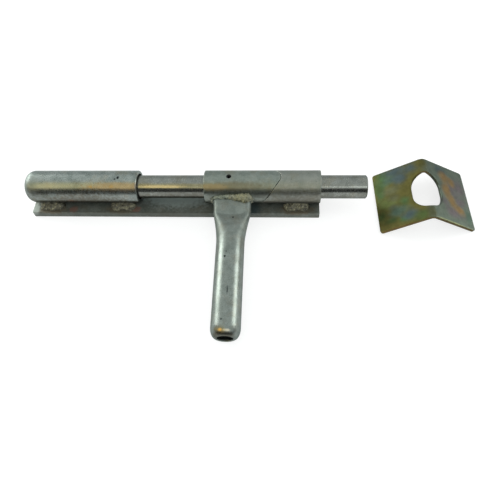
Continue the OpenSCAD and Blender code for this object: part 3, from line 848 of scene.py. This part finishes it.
# %% [markdown]
# ## The handle
# A length of tube with one end pressed flat and the other rolled in. Pressing doesn't
# stretch the wall: it keeps its length round, so the flat neck comes out wider than the
# tube. Each column of the grid below is one line of that wall, which makes the flare
# between neck and tube follow by itself. The press leaves a crease in a shallow bow.

# %% Handle sizes
HANDLE_D = 22.2 * MM
HANDLE_WALL = 2.0 * MM
HANDLE_REACH = 131.0 * MM
HANDLE_INSET = 23.4 * MM
NECK_T = 7.8 * MM
NECK_END = 25.5 * MM
NECK_SINK = 0.8 * MM
NECK_SPREAD = 1.6 * MM
NECK_SPREAD_END = 10 * MM
FLARE_END = 54.0 * MM
FLARE_POWER = 1.7
END_ROLL = 4.5 * MM
END_ROLL_LENGTH = 8.0 * MM
HANDLE_DROOP = math.radians(3.5)
HANDLE_LEAN = math.radians(0.5)
CREASE_START = 17 * MM
CREASE_BOW = 3.2 * MM
CREASE_SOFT = 0.05
laid_over = Matrix.Rotation(math.pi / 2 + HANDLE_DROOP, 3, "X") @ Matrix.Rotation(HANDLE_LEAN, 3, "Y")


def along_handle(points):
    """From the handle's own axes (across, thick, along) to the frame."""
    return points @ np.array(laid_over).T + np.array([COLLAR_X + HANDLE_INSET, 0, AXIS_Z])


def flat_run(t):
    """Straight part of a squeezed section of thickness t: half of what is left of the
    length round the middle of the wall once both round edges are taken off."""
    return math.pi / 2 * (HANDLE_D - HANDLE_WALL - (t - HANDLE_WALL))


def squeezed(share, run, r):
    """A point at a share of the way round a section of two flats and two half circles,
    from the middle of the top: x = run / 2 + r * sin(u) and y = r * cos(u) past the flat."""
    fold = np.abs((share * 4 + 2) % 4 - 2)
    way = np.where(fold > 1, 2 - fold, fold) * (run / 2 + np.pi / 2 * r)
    u = np.maximum(way - run / 2, 0) / r
    x = np.minimum(way, run / 2) + r * np.sin(u)
    y = r * np.cos(u)
    return np.stack([np.where(share < 0.5, x, -x), np.where(fold > 1, -y, y)], axis=-1)


NECK_HALF_W = (flat_run(NECK_T) + NECK_T) / 2
print(f"a tube of {HANDLE_D / MM:.1f} mm presses out to a neck {2 * NECK_HALF_W / MM:.1f} mm wide")

# %% Handle
# The sawn edge of the wall at the rolled end, with its corners worn off: how far back and
# how far out from the hole each point lies, as shares of the wall
SAWN_EDGE = np.array([[0.02, -0.16], [0.16, -0.3], [0.84, -0.3], [0.98, -0.16]])


def handle(columns=96):
    """Rows of squeezed sections along the wall, over the rolled end and back inside. Along
    the flare the thickness is neck + (tube - neck) * (1 - (1 - s)^power), s from 0 to 1."""
    share = turn(columns) / (2 * np.pi)
    neck = np.linspace(0, 1, 9)[:-1]
    flare = np.linspace(0, 1, 34)
    shaft = np.linspace(0, 1, 20)[1:]
    z = np.concatenate([NECK_END * neck, NECK_END + (FLARE_END - NECK_END) * flare,
                        FLARE_END + (HANDLE_REACH - END_ROLL_LENGTH - FLARE_END) * shaft])
    s = np.clip((z - NECK_END) / (FLARE_END - NECK_END), 0, 1)
    s = (np.hypot(s, CREASE_SOFT) - CREASE_SOFT) / (math.hypot(1, CREASE_SOFT) - CREASE_SOFT)
    t = NECK_T + (HANDLE_D - NECK_T) * (1 - (1 - s) ** FLARE_POWER)
    roll = np.linspace(0, np.pi / 2, 17)[1:]
    hole_r = HANDLE_D / 2 - END_ROLL

    def rows(run, r, along):
        """Squeezed sections of a straight run and a radius each, at their places along."""
        xy = squeezed(share, run, r[:, None])
        return np.dstack([xy, np.broadcast_to(along[:, None, None], (*xy.shape[:2], 1))])

    def side(inset):
        """One side of the wall: rows of points from the root to the end of the roll."""
        roll_along = HANDLE_REACH - END_ROLL_LENGTH + (END_ROLL_LENGTH - inset) * np.sin(roll)
        return np.concatenate([rows(flat_run(t)[:, None], t / 2 - inset, z),
                               rows(0, hole_r + (END_ROLL - inset) * np.cos(roll), roll_along)])

    back, out = SAWN_EDGE.T * HANDLE_WALL
    points = np.concatenate([side(0), rows(0, hole_r + out, HANDLE_REACH - back), side(HANDLE_WALL)[::-1]])
    # The root follows the round of the collar, sunk a little into its wall
    root = np.sqrt(TUBE_R ** 2 - points[..., 1] ** 2, where=np.abs(points[..., 1]) < TUBE_R,
                   out=np.zeros(points.shape[:2])) - NECK_SINK
    in_neck = points[..., 2] < NECK_END
    coped = root + (NECK_END - root) * points[..., 2] / NECK_END
    points[..., 2] = np.where(in_neck, coped, points[..., 2])
    # The press let the root of the neck spread towards the rear
    spread = NECK_SPREAD * np.clip(1 - (points[..., 2] - TUBE_R) / NECK_SPREAD_END, 0, 1) ** 2
    points[..., 0] *= 1 + spread / NECK_HALF_W * (points[..., 0] < 0)
    # The crease bows away from the bolt in the middle of the neck
    bow = CREASE_BOW * np.clip(1 - (points[..., 0] / NECK_HALF_W) ** 2, 0, 1)
    before = np.clip((points[..., 2] - CREASE_START) / (NECK_END - CREASE_START), 0, 1)
    after = np.clip((FLARE_END - points[..., 2]) / (FLARE_END - NECK_END), 0, 1)
    points[..., 2] += bow * np.minimum(before, after)
    return even_shading(surface("pressed_handle", along_handle(points), loop_rows=True))


lever = handle()
dress(lever, handle_zinc)
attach(lever, "bolt")
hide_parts("handle_tube")

# %% [markdown]
# ## Uneven metal
# Weld metal is never smooth. Its lumps are drawn by adding sine waves that run in many
# directions: each wave is regular, but their sum isn't, and it is the same on each run.

# %% A sum of waves
GOLDEN_ANGLE = 2.39996
# Steps whose multiples, with their whole part left off, spread evenly from 0 to 1
HEIGHT_STEP = 0.7548
STRETCH_STEP = 0.5698


def lumps(points, size, seed=0.0, waves=9):
    """Height at each point, mostly between -1 and 1: the sum of sine waves, divided by the
    square root of their number. Their wavelengths lie round size, and their directions go
    round by the golden angle, so that no two agree."""
    k = np.arange(waves) + seed
    height = 1 - 2 * ((k * HEIGHT_STEP) % 1)
    bearing = k * GOLDEN_ANGLE
    flat = np.sqrt(1 - height ** 2)
    directions = np.stack([flat * np.cos(bearing), flat * np.sin(bearing), height], axis=-1)
    stretch = 0.7 + 0.6 * ((k * STRETCH_STEP) % 1)
    phase = points @ (directions * stretch[:, None]).T * (2 * np.pi / size) + k * 1.7
    return np.sin(phase).sum(axis=-1) / math.sqrt(waves)


print("lumps of 5 mm, at each mm of a line:", lumps(np.arange(6)[:, None] * (1, 0, 0), 5).round(2))

# %% [markdown]
# ## Welds
# The beads between the tubes and the bar are short fillets, and one bead runs round the
# neck of the handle. Each is a lumpy tube along a path: ripples cross it where the pool
# froze, and lumps of spatter and slag make it uneven.

# %% Fillets on the bar
BEAD_R = 6.0 * MM
BEAD_Y = 10.0 * MM
BEAD_L = 22.0 * MM
BEAD_POWER = 1.3
RIPPLE = 1.7 * MM
bar_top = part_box("mounting_bar")[1].z
first_weld, last_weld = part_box("rear_tube_welds")
rear_welds_x = [first_weld.x + BEAD_L / 2, last_weld.x - BEAD_L / 2]
front_weld_x = sum(corner.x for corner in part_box("front_tube_welds")) / 2


def fillet(x, side, seed):
    """A lumpy fillet at the foot of a tube: its section is flat between its two toes, as
    r = R / (|cos|^p + |sin|^p)^(1 / p), its ends are round, and ripples and lumps make its
    face and its toes ragged."""
    u = np.linspace(-1, 1, 90)[:, None]
    v = turn(64)[None, :]
    end = np.clip((np.abs(u) * BEAD_L / 2 - (BEAD_L / 2 - BEAD_R)) / BEAD_R, 0, 1)
    flat = (np.abs(np.cos(v)) ** BEAD_POWER + np.abs(np.sin(v)) ** BEAD_POWER) ** (-1 / BEAD_POWER)
    along = x + u * BEAD_L / 2 + 0 * v

    def at(r):
        """The points at a distance r from the line along which the bead was laid."""
        return np.stack([along, side * (BEAD_Y + r * np.cos(v)), bar_top + r * np.sin(v)], axis=-1)

    r = BEAD_R * np.sqrt(1 - end ** 2) * flat
    # Ripples are highest in the middle of the bead, and lie back a little at its toes
    ripples = np.sin(2 * np.pi * (along - 0.3 * BEAD_R * np.cos(v) ** 2) / RIPPLE + seed)
    rough = 0.03 * ripples + 0.1 * lumps(at(r), 5 * MM, seed) + 0.05 * lumps(at(r), 1.7 * MM, seed + 3)
    # What lies inside the bar and the tube is drawn in, so that it doesn't come out again
    buried = np.where(np.sin(v) < 0, 0.6, 1) * np.where(np.cos(v) < 0, 0.8, 1)
    return at(r * np.clip(0.9 + rough, 0.5, 1) * buried)


def join_meshes(name, pieces):
    """One mesh that holds the meshes of several pieces, which are then removed."""
    work = bmesh.new()
    for piece in pieces:
        work.from_mesh(piece.data)
        bpy.data.objects.remove(piece)
    mesh = bpy.data.meshes.new(name)
    work.to_mesh(mesh)
    work.free()
    return mesh


def fillets(name, stations, node, seed):
    """The beads of one tube, two for each station, as one piece."""
    beads = [surface(f"{name}_{i}", fillet(x, side, seed + i))
             for i, (x, side) in enumerate((x, side) for x in stations for side in (-1, 1))]
    whole = bpy.data.objects.new(name, join_meshes(name, beads))
    bpy.context.scene.collection.objects.link(whole)
    dress(whole, weld_finish)
    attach(whole, "housing")
    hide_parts(node)


fillets("rear_fillets", rear_welds_x, "rear_tube_welds", 1)
fillets("front_fillets", [front_weld_x], "front_tube_welds", 7)

# %% Bead round the neck
NECK_BEAD_R = 2.1 * MM


def neck_bead():
    """A lumpy ring: its path is the corner between the neck and the collar, where the
    collar's surface stands sqrt(tube^2 - y^2) from the axis. Its section is round. On the
    upper side its radius and its toe on the neck grow with x, because the weld began at
    the neck's left edge, which had spread a little."""
    share = (turn(260) / (2 * np.pi))[:, None]
    x, y = np.moveaxis(squeezed(share, flat_run(NECK_T), NECK_T / 2), -1, 0)
    x = x * (1 + NECK_SPREAD / NECK_HALF_W * (x < 0))
    path = np.stack([x, y, np.sqrt(TUBE_R ** 2 - y ** 2)], axis=-1)
    along = np.roll(path, -1, axis=0) - np.roll(path, 1, axis=0)
    along /= np.linalg.norm(along, axis=-1, keepdims=True)
    out = np.cross(along, [0, 0, 1.0])
    out /= np.linalg.norm(out, axis=-1, keepdims=True)
    up = np.cross(out, along)
    v = turn(44)[None, :, None]
    raw = path + NECK_BEAD_R * (np.cos(v) * out + np.sin(v) * up)
    way = share * 2 * (flat_run(NECK_T) + math.pi * NECK_T / 2)
    rough = (0.05 * np.sin(2 * np.pi * way / RIPPLE) + 0.14 * lumps(raw, 3.6 * MM, 2)
             + 0.1 * lumps(raw, 1.4 * MM, 5))
    # Upper is 1 on the neck's upper side, and ahead goes from -1 to 1 from left to right
    upper = np.clip(2 * y / NECK_T, 0, 1) ** 2
    ahead = np.clip(x / NECK_HALF_W, -1, 1)
    swell = 0.75 + upper * (0.4 + 0.6 * ahead)
    toe = 1 + 0.9 * (upper * np.clip(ahead + 0.2, 0, 1))[..., None] * (np.sin(v) > 0)
    r = NECK_BEAD_R * (swell + rough)
    points = path + r[..., None] * (np.cos(v) * out + toe * np.sin(v) * up)
    return surface("neck_fillet", along_handle(points), loop_rows=True)


neck_weld = neck_bead()
dress(neck_weld, weld_finish)
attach(neck_weld, "bolt")
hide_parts("handle_weld")

# %% [markdown]
# ## The strike
# A plate bent along its middle, with an oval hole punched while it was still flat. A plate
# with a hole is a ring, so its grid has no ends: one way it runs round the hole, and the
# other way out over the top, round the edge, back underneath and up the wall of the hole.
# It is drawn flat and then bent, which is also how the real one was made.

# %% Strike sizes
STRIKE_T = 2.5 * MM
STRIKE_W = 59.0 * MM
WING_L = 43.8 * MM
WING_FALL = math.radians(30.5)
BEND_OUTER_R = 6.0 * MM
STRIKE_CORNER = 2.0 * MM
HOLE_ACROSS = 27.4 * MM
HOLE_ALONG = 34.7 * MM
HOLE_SHIFT = 1.0 * MM
STRIKE_TURN = math.radians(2.0)
STRIKE_EDGE = 0.35 * MM
print(f"two wings of {WING_L / MM:.1f} mm, {180 - 2 * math.degrees(WING_FALL):.0f} degrees apart")


# %% From flat to bent
def bend(p, q, depth):
    """Bends the flat plate about p = 0. Within the tangent length, radius * tan(fall), the
    top follows an arc, and beyond it the wing falls straight. Depth is square to the top."""
    tangent = BEND_OUTER_R * math.tan(WING_FALL)
    tilt = WING_FALL * np.clip(p / tangent, -1, 1)
    beyond = np.sign(p) * np.maximum(np.abs(p) - tangent, 0)
    drop = BEND_OUTER_R / math.cos(WING_FALL)
    r = BEND_OUTER_R - depth
    x = r * np.sin(tilt) + beyond * math.cos(WING_FALL)
    z = r * np.cos(tilt) - drop - np.abs(beyond) * math.sin(WING_FALL)
    return np.stack([x, q, z], axis=-1)


def plate_outlines(count):
    """Matching points round the border and round the hole, on rays from the hole's middle.
    The border is a rectangle with round corners. The hole is an oval: a ray meets its
    straight side at r / cos, or its end at straight * sin + sqrt(r^2 - (straight * cos)^2)."""
    half_p, half_q, c = WING_L, STRIKE_W / 2, STRIKE_CORNER
    turns = np.linspace(0, 1, count, endpoint=False)
    corner = np.array([[half_p - c, half_q - c], [c - half_p, half_q - c], [c - half_p, c - half_q],
                       [half_p - c, c - half_q]])
    arc = np.linspace(0, np.pi / 2, 9) + np.arange(4)[:, None] * np.pi / 2
    ring = (corner[:, None] + c * np.stack([np.cos(arc), np.sin(arc)], axis=-1)).reshape(-1, 2)
    closed = np.vstack([ring, ring[:1]])
    length = np.concatenate([[0], np.cumsum(np.linalg.norm(np.diff(closed, axis=0), axis=1))])
    sides = np.sort(np.concatenate([turns * length[-1], length[:-1]]))
    border = np.column_stack([np.interp(sides, length, closed[:, k]) for k in (0, 1)])
    ray = border + (0, HOLE_SHIFT)
    ray = ray / np.linalg.norm(ray, axis=1, keepdims=True)
    r = HOLE_ACROSS / 2
    straight = HOLE_ALONG / 2 - r
    side, end = np.abs(ray[:, 0]), np.abs(ray[:, 1])
    on_side = r / np.maximum(side, 1e-9)
    on_end = end * straight + np.sqrt(np.maximum(r ** 2 - (straight * side) ** 2, 0))
    reach = np.where(on_side * end <= straight, on_side, on_end)
    return ray * reach[:, None] - (0, HOLE_SHIFT), border


wing_edge = bend(np.array(WING_L), 0, 0)
print(f"bent, a wing reaches {wing_edge[0] / MM:.1f} mm out and {-wing_edge[2] / MM:.1f} mm down")


# %% Strike
def strike():
    """Rows run from the hole's edge out over the top, round the border and back below. They
    are point = hole + (border - hole) * s, s from 0 to 1, and a quarter circle rounds each
    edge: it is drawn in by edge * (1 - cos(t)) and lies edge * (1 - sin(t)) deep."""
    hole, border = plate_outlines(640)
    outward = border - hole
    outward = outward / np.linalg.norm(outward, axis=1, keepdims=True)
    t = np.linspace(0, np.pi / 2, 4)[:, None, None]
    s = np.linspace(0, 1, 26)[1:-1, None, None]
    inner, outer = hole + outward * STRIKE_EDGE, border - outward * STRIKE_EDGE
    rows = np.concatenate([hole + outward * STRIKE_EDGE * (1 - np.cos(t)), inner + (outer - inner) * s,
                           border - outward * STRIKE_EDGE * (1 - np.sin(t))])
    depth = np.concatenate([STRIKE_EDGE * (1 - np.sin(t)), 0 * s, STRIKE_EDGE * (1 - np.cos(t))])[..., 0]
    flat = np.concatenate([rows, rows[::-1]])
    depth = np.concatenate([depth, STRIKE_T - depth[::-1]])
    points = bend(flat[..., 0], flat[..., 1], depth)
    spun = points @ np.array(Matrix.Rotation(STRIKE_TURN, 3, "Z")).T
    lo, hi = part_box("strike_plate")
    ridge = [(lo.x + hi.x) / 2, (lo.y + hi.y) / 2, hi.z - spun[..., 2].max()]
    return even_shading(surface("bent_strike", spun + np.array(ridge), loop_rows=True))


plate = strike()
dress(plate, strike_finish)
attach(plate, "strike")
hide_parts("strike_plate")

# %% [markdown]
# ## The spring
# A compression spring inside the rear tube, with its end turns closed up so that they lie
# flat. When the bolt goes back, a real spring keeps its wire and only its pitch shrinks.
# It shortens in two steps here, by the push of the strike and by the pull of the cam, so
# it is made as two coils that meet, split where the two travels divide it, one on each body.

# %% Spring sizes
WIRE_R = 0.9 * MM
WIRE_D = 2 * WIRE_R
SPRING_GAP = 0.5 * MM
SPRING_TURNS = 9
STEPS_IN_A_TURN = 40
spring_lo, spring_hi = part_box("return_spring")
spring_l = spring_hi.x - spring_lo.x
# Where the closed and the open turns begin and end, and how far along the spring that is
turn_ends = [0, 1, SPRING_TURNS - 1, SPRING_TURNS]
turn_ends_x = [0, WIRE_D, spring_l - 2 * WIRE_D, spring_l - WIRE_D]
travel = {joint["name"]: joint["range_m"][1] for joint in frame["joints"] if joint["type"] == "slide"}
pushed = travel["slam_slide"] / (travel["slam_slide"] + travel["cam_slide"])
split_x = spring_lo.x + pushed * spring_l
split_turn = float(np.interp(pushed * spring_l - WIRE_R, turn_ends_x, turn_ends))
print(f"spring {spring_l / MM:.1f} mm long, split at turn {split_turn:.2f}")


# %% Spring
def coil(name, first, last, columns=14):
    """Part of a helix, from one turn number to another. The wire's middle runs at radius R
    round the bolt axis, at an angle of 2 pi * n, and its place along x is read off a line
    that is steep in the middle and, for one turn at each end, climbs by just one wire. The
    wire is a circle round it: middle + r * (cos(v) * out + sin(v) * side)."""
    n = np.linspace(first, last, round((last - first) * STEPS_IN_A_TURN) + 1)
    along = np.interp(n, turn_ends, turn_ends_x)
    helix_r = TUBE_R - REAR_WALL - SPRING_GAP - WIRE_R
    middle = around_bolt(spring_lo.x + WIRE_R + along, helix_r, 2 * np.pi * n)
    axis = np.stack([middle[:, 0], 0 * n, 0 * n + AXIS_Z], axis=-1)
    out = (middle - axis) / helix_r
    ahead = np.gradient(middle, axis=0)
    side = np.cross(ahead / np.linalg.norm(ahead, axis=1, keepdims=True), out)
    r = np.full(len(n), WIRE_R)
    r[[0, -1]] = 0
    middle[[0, -1]] = middle[[1, -2]]
    v = turn(columns)[None, :, None]
    points = middle[:, None] + r[:, None, None] * (np.cos(v) * out[:, None] + np.sin(v) * side[:, None])
    return surface(name, points)


# Drawn wire, kept from rust by oil and not plated, so it is darker than the zinc
spring_steel = zinc_plate("oiled_spring_steel", "#565A5E", "#3F4246", "#4E483C", gloss=0.3)
for name, first, last, body, joint, from_x, length in (
        ("spring_rear_turns", 0, split_turn, "housing", "slam_slide", spring_lo.x, pushed * spring_l),
        ("spring_front_turns", split_turn, SPRING_TURNS, "spring", "cam_slide", split_x,
         (1 - pushed) * spring_l)):
    turns = coil(name, first, last)
    dress(turns, spring_steel)
    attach(turns, body)
    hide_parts("return_spring")
    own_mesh(turns)

# %% [markdown]
# ## Rod, pin and washer
# These nodes already have the right shape, so they stay as they are and only get their
# finish: bright bar that was plated after turning, a pin of dark spring steel, and a
# plain plated washer.

# %% Finishes of the nodes that stay
pin_steel = zinc_plate("blackened_spring_steel", "#3E4144", "#2B2D30", "#4A4338", gloss=0.4)
for node, finish, slot in (("bolt_rod", rod_zinc, "rod_zinc"), ("roll_pin", pin_steel, "pin_steel"),
                           ("thrust_washer", bar_zinc, "washer_steel")):
    dress(nodes[node], finish)
    print(f"{node}: {finish.name}")

# %% [markdown]
# ## Finish
# The view settings stay plain.

# %% The view settings
bpy.context.scene.view_settings.view_transform = "Standard"
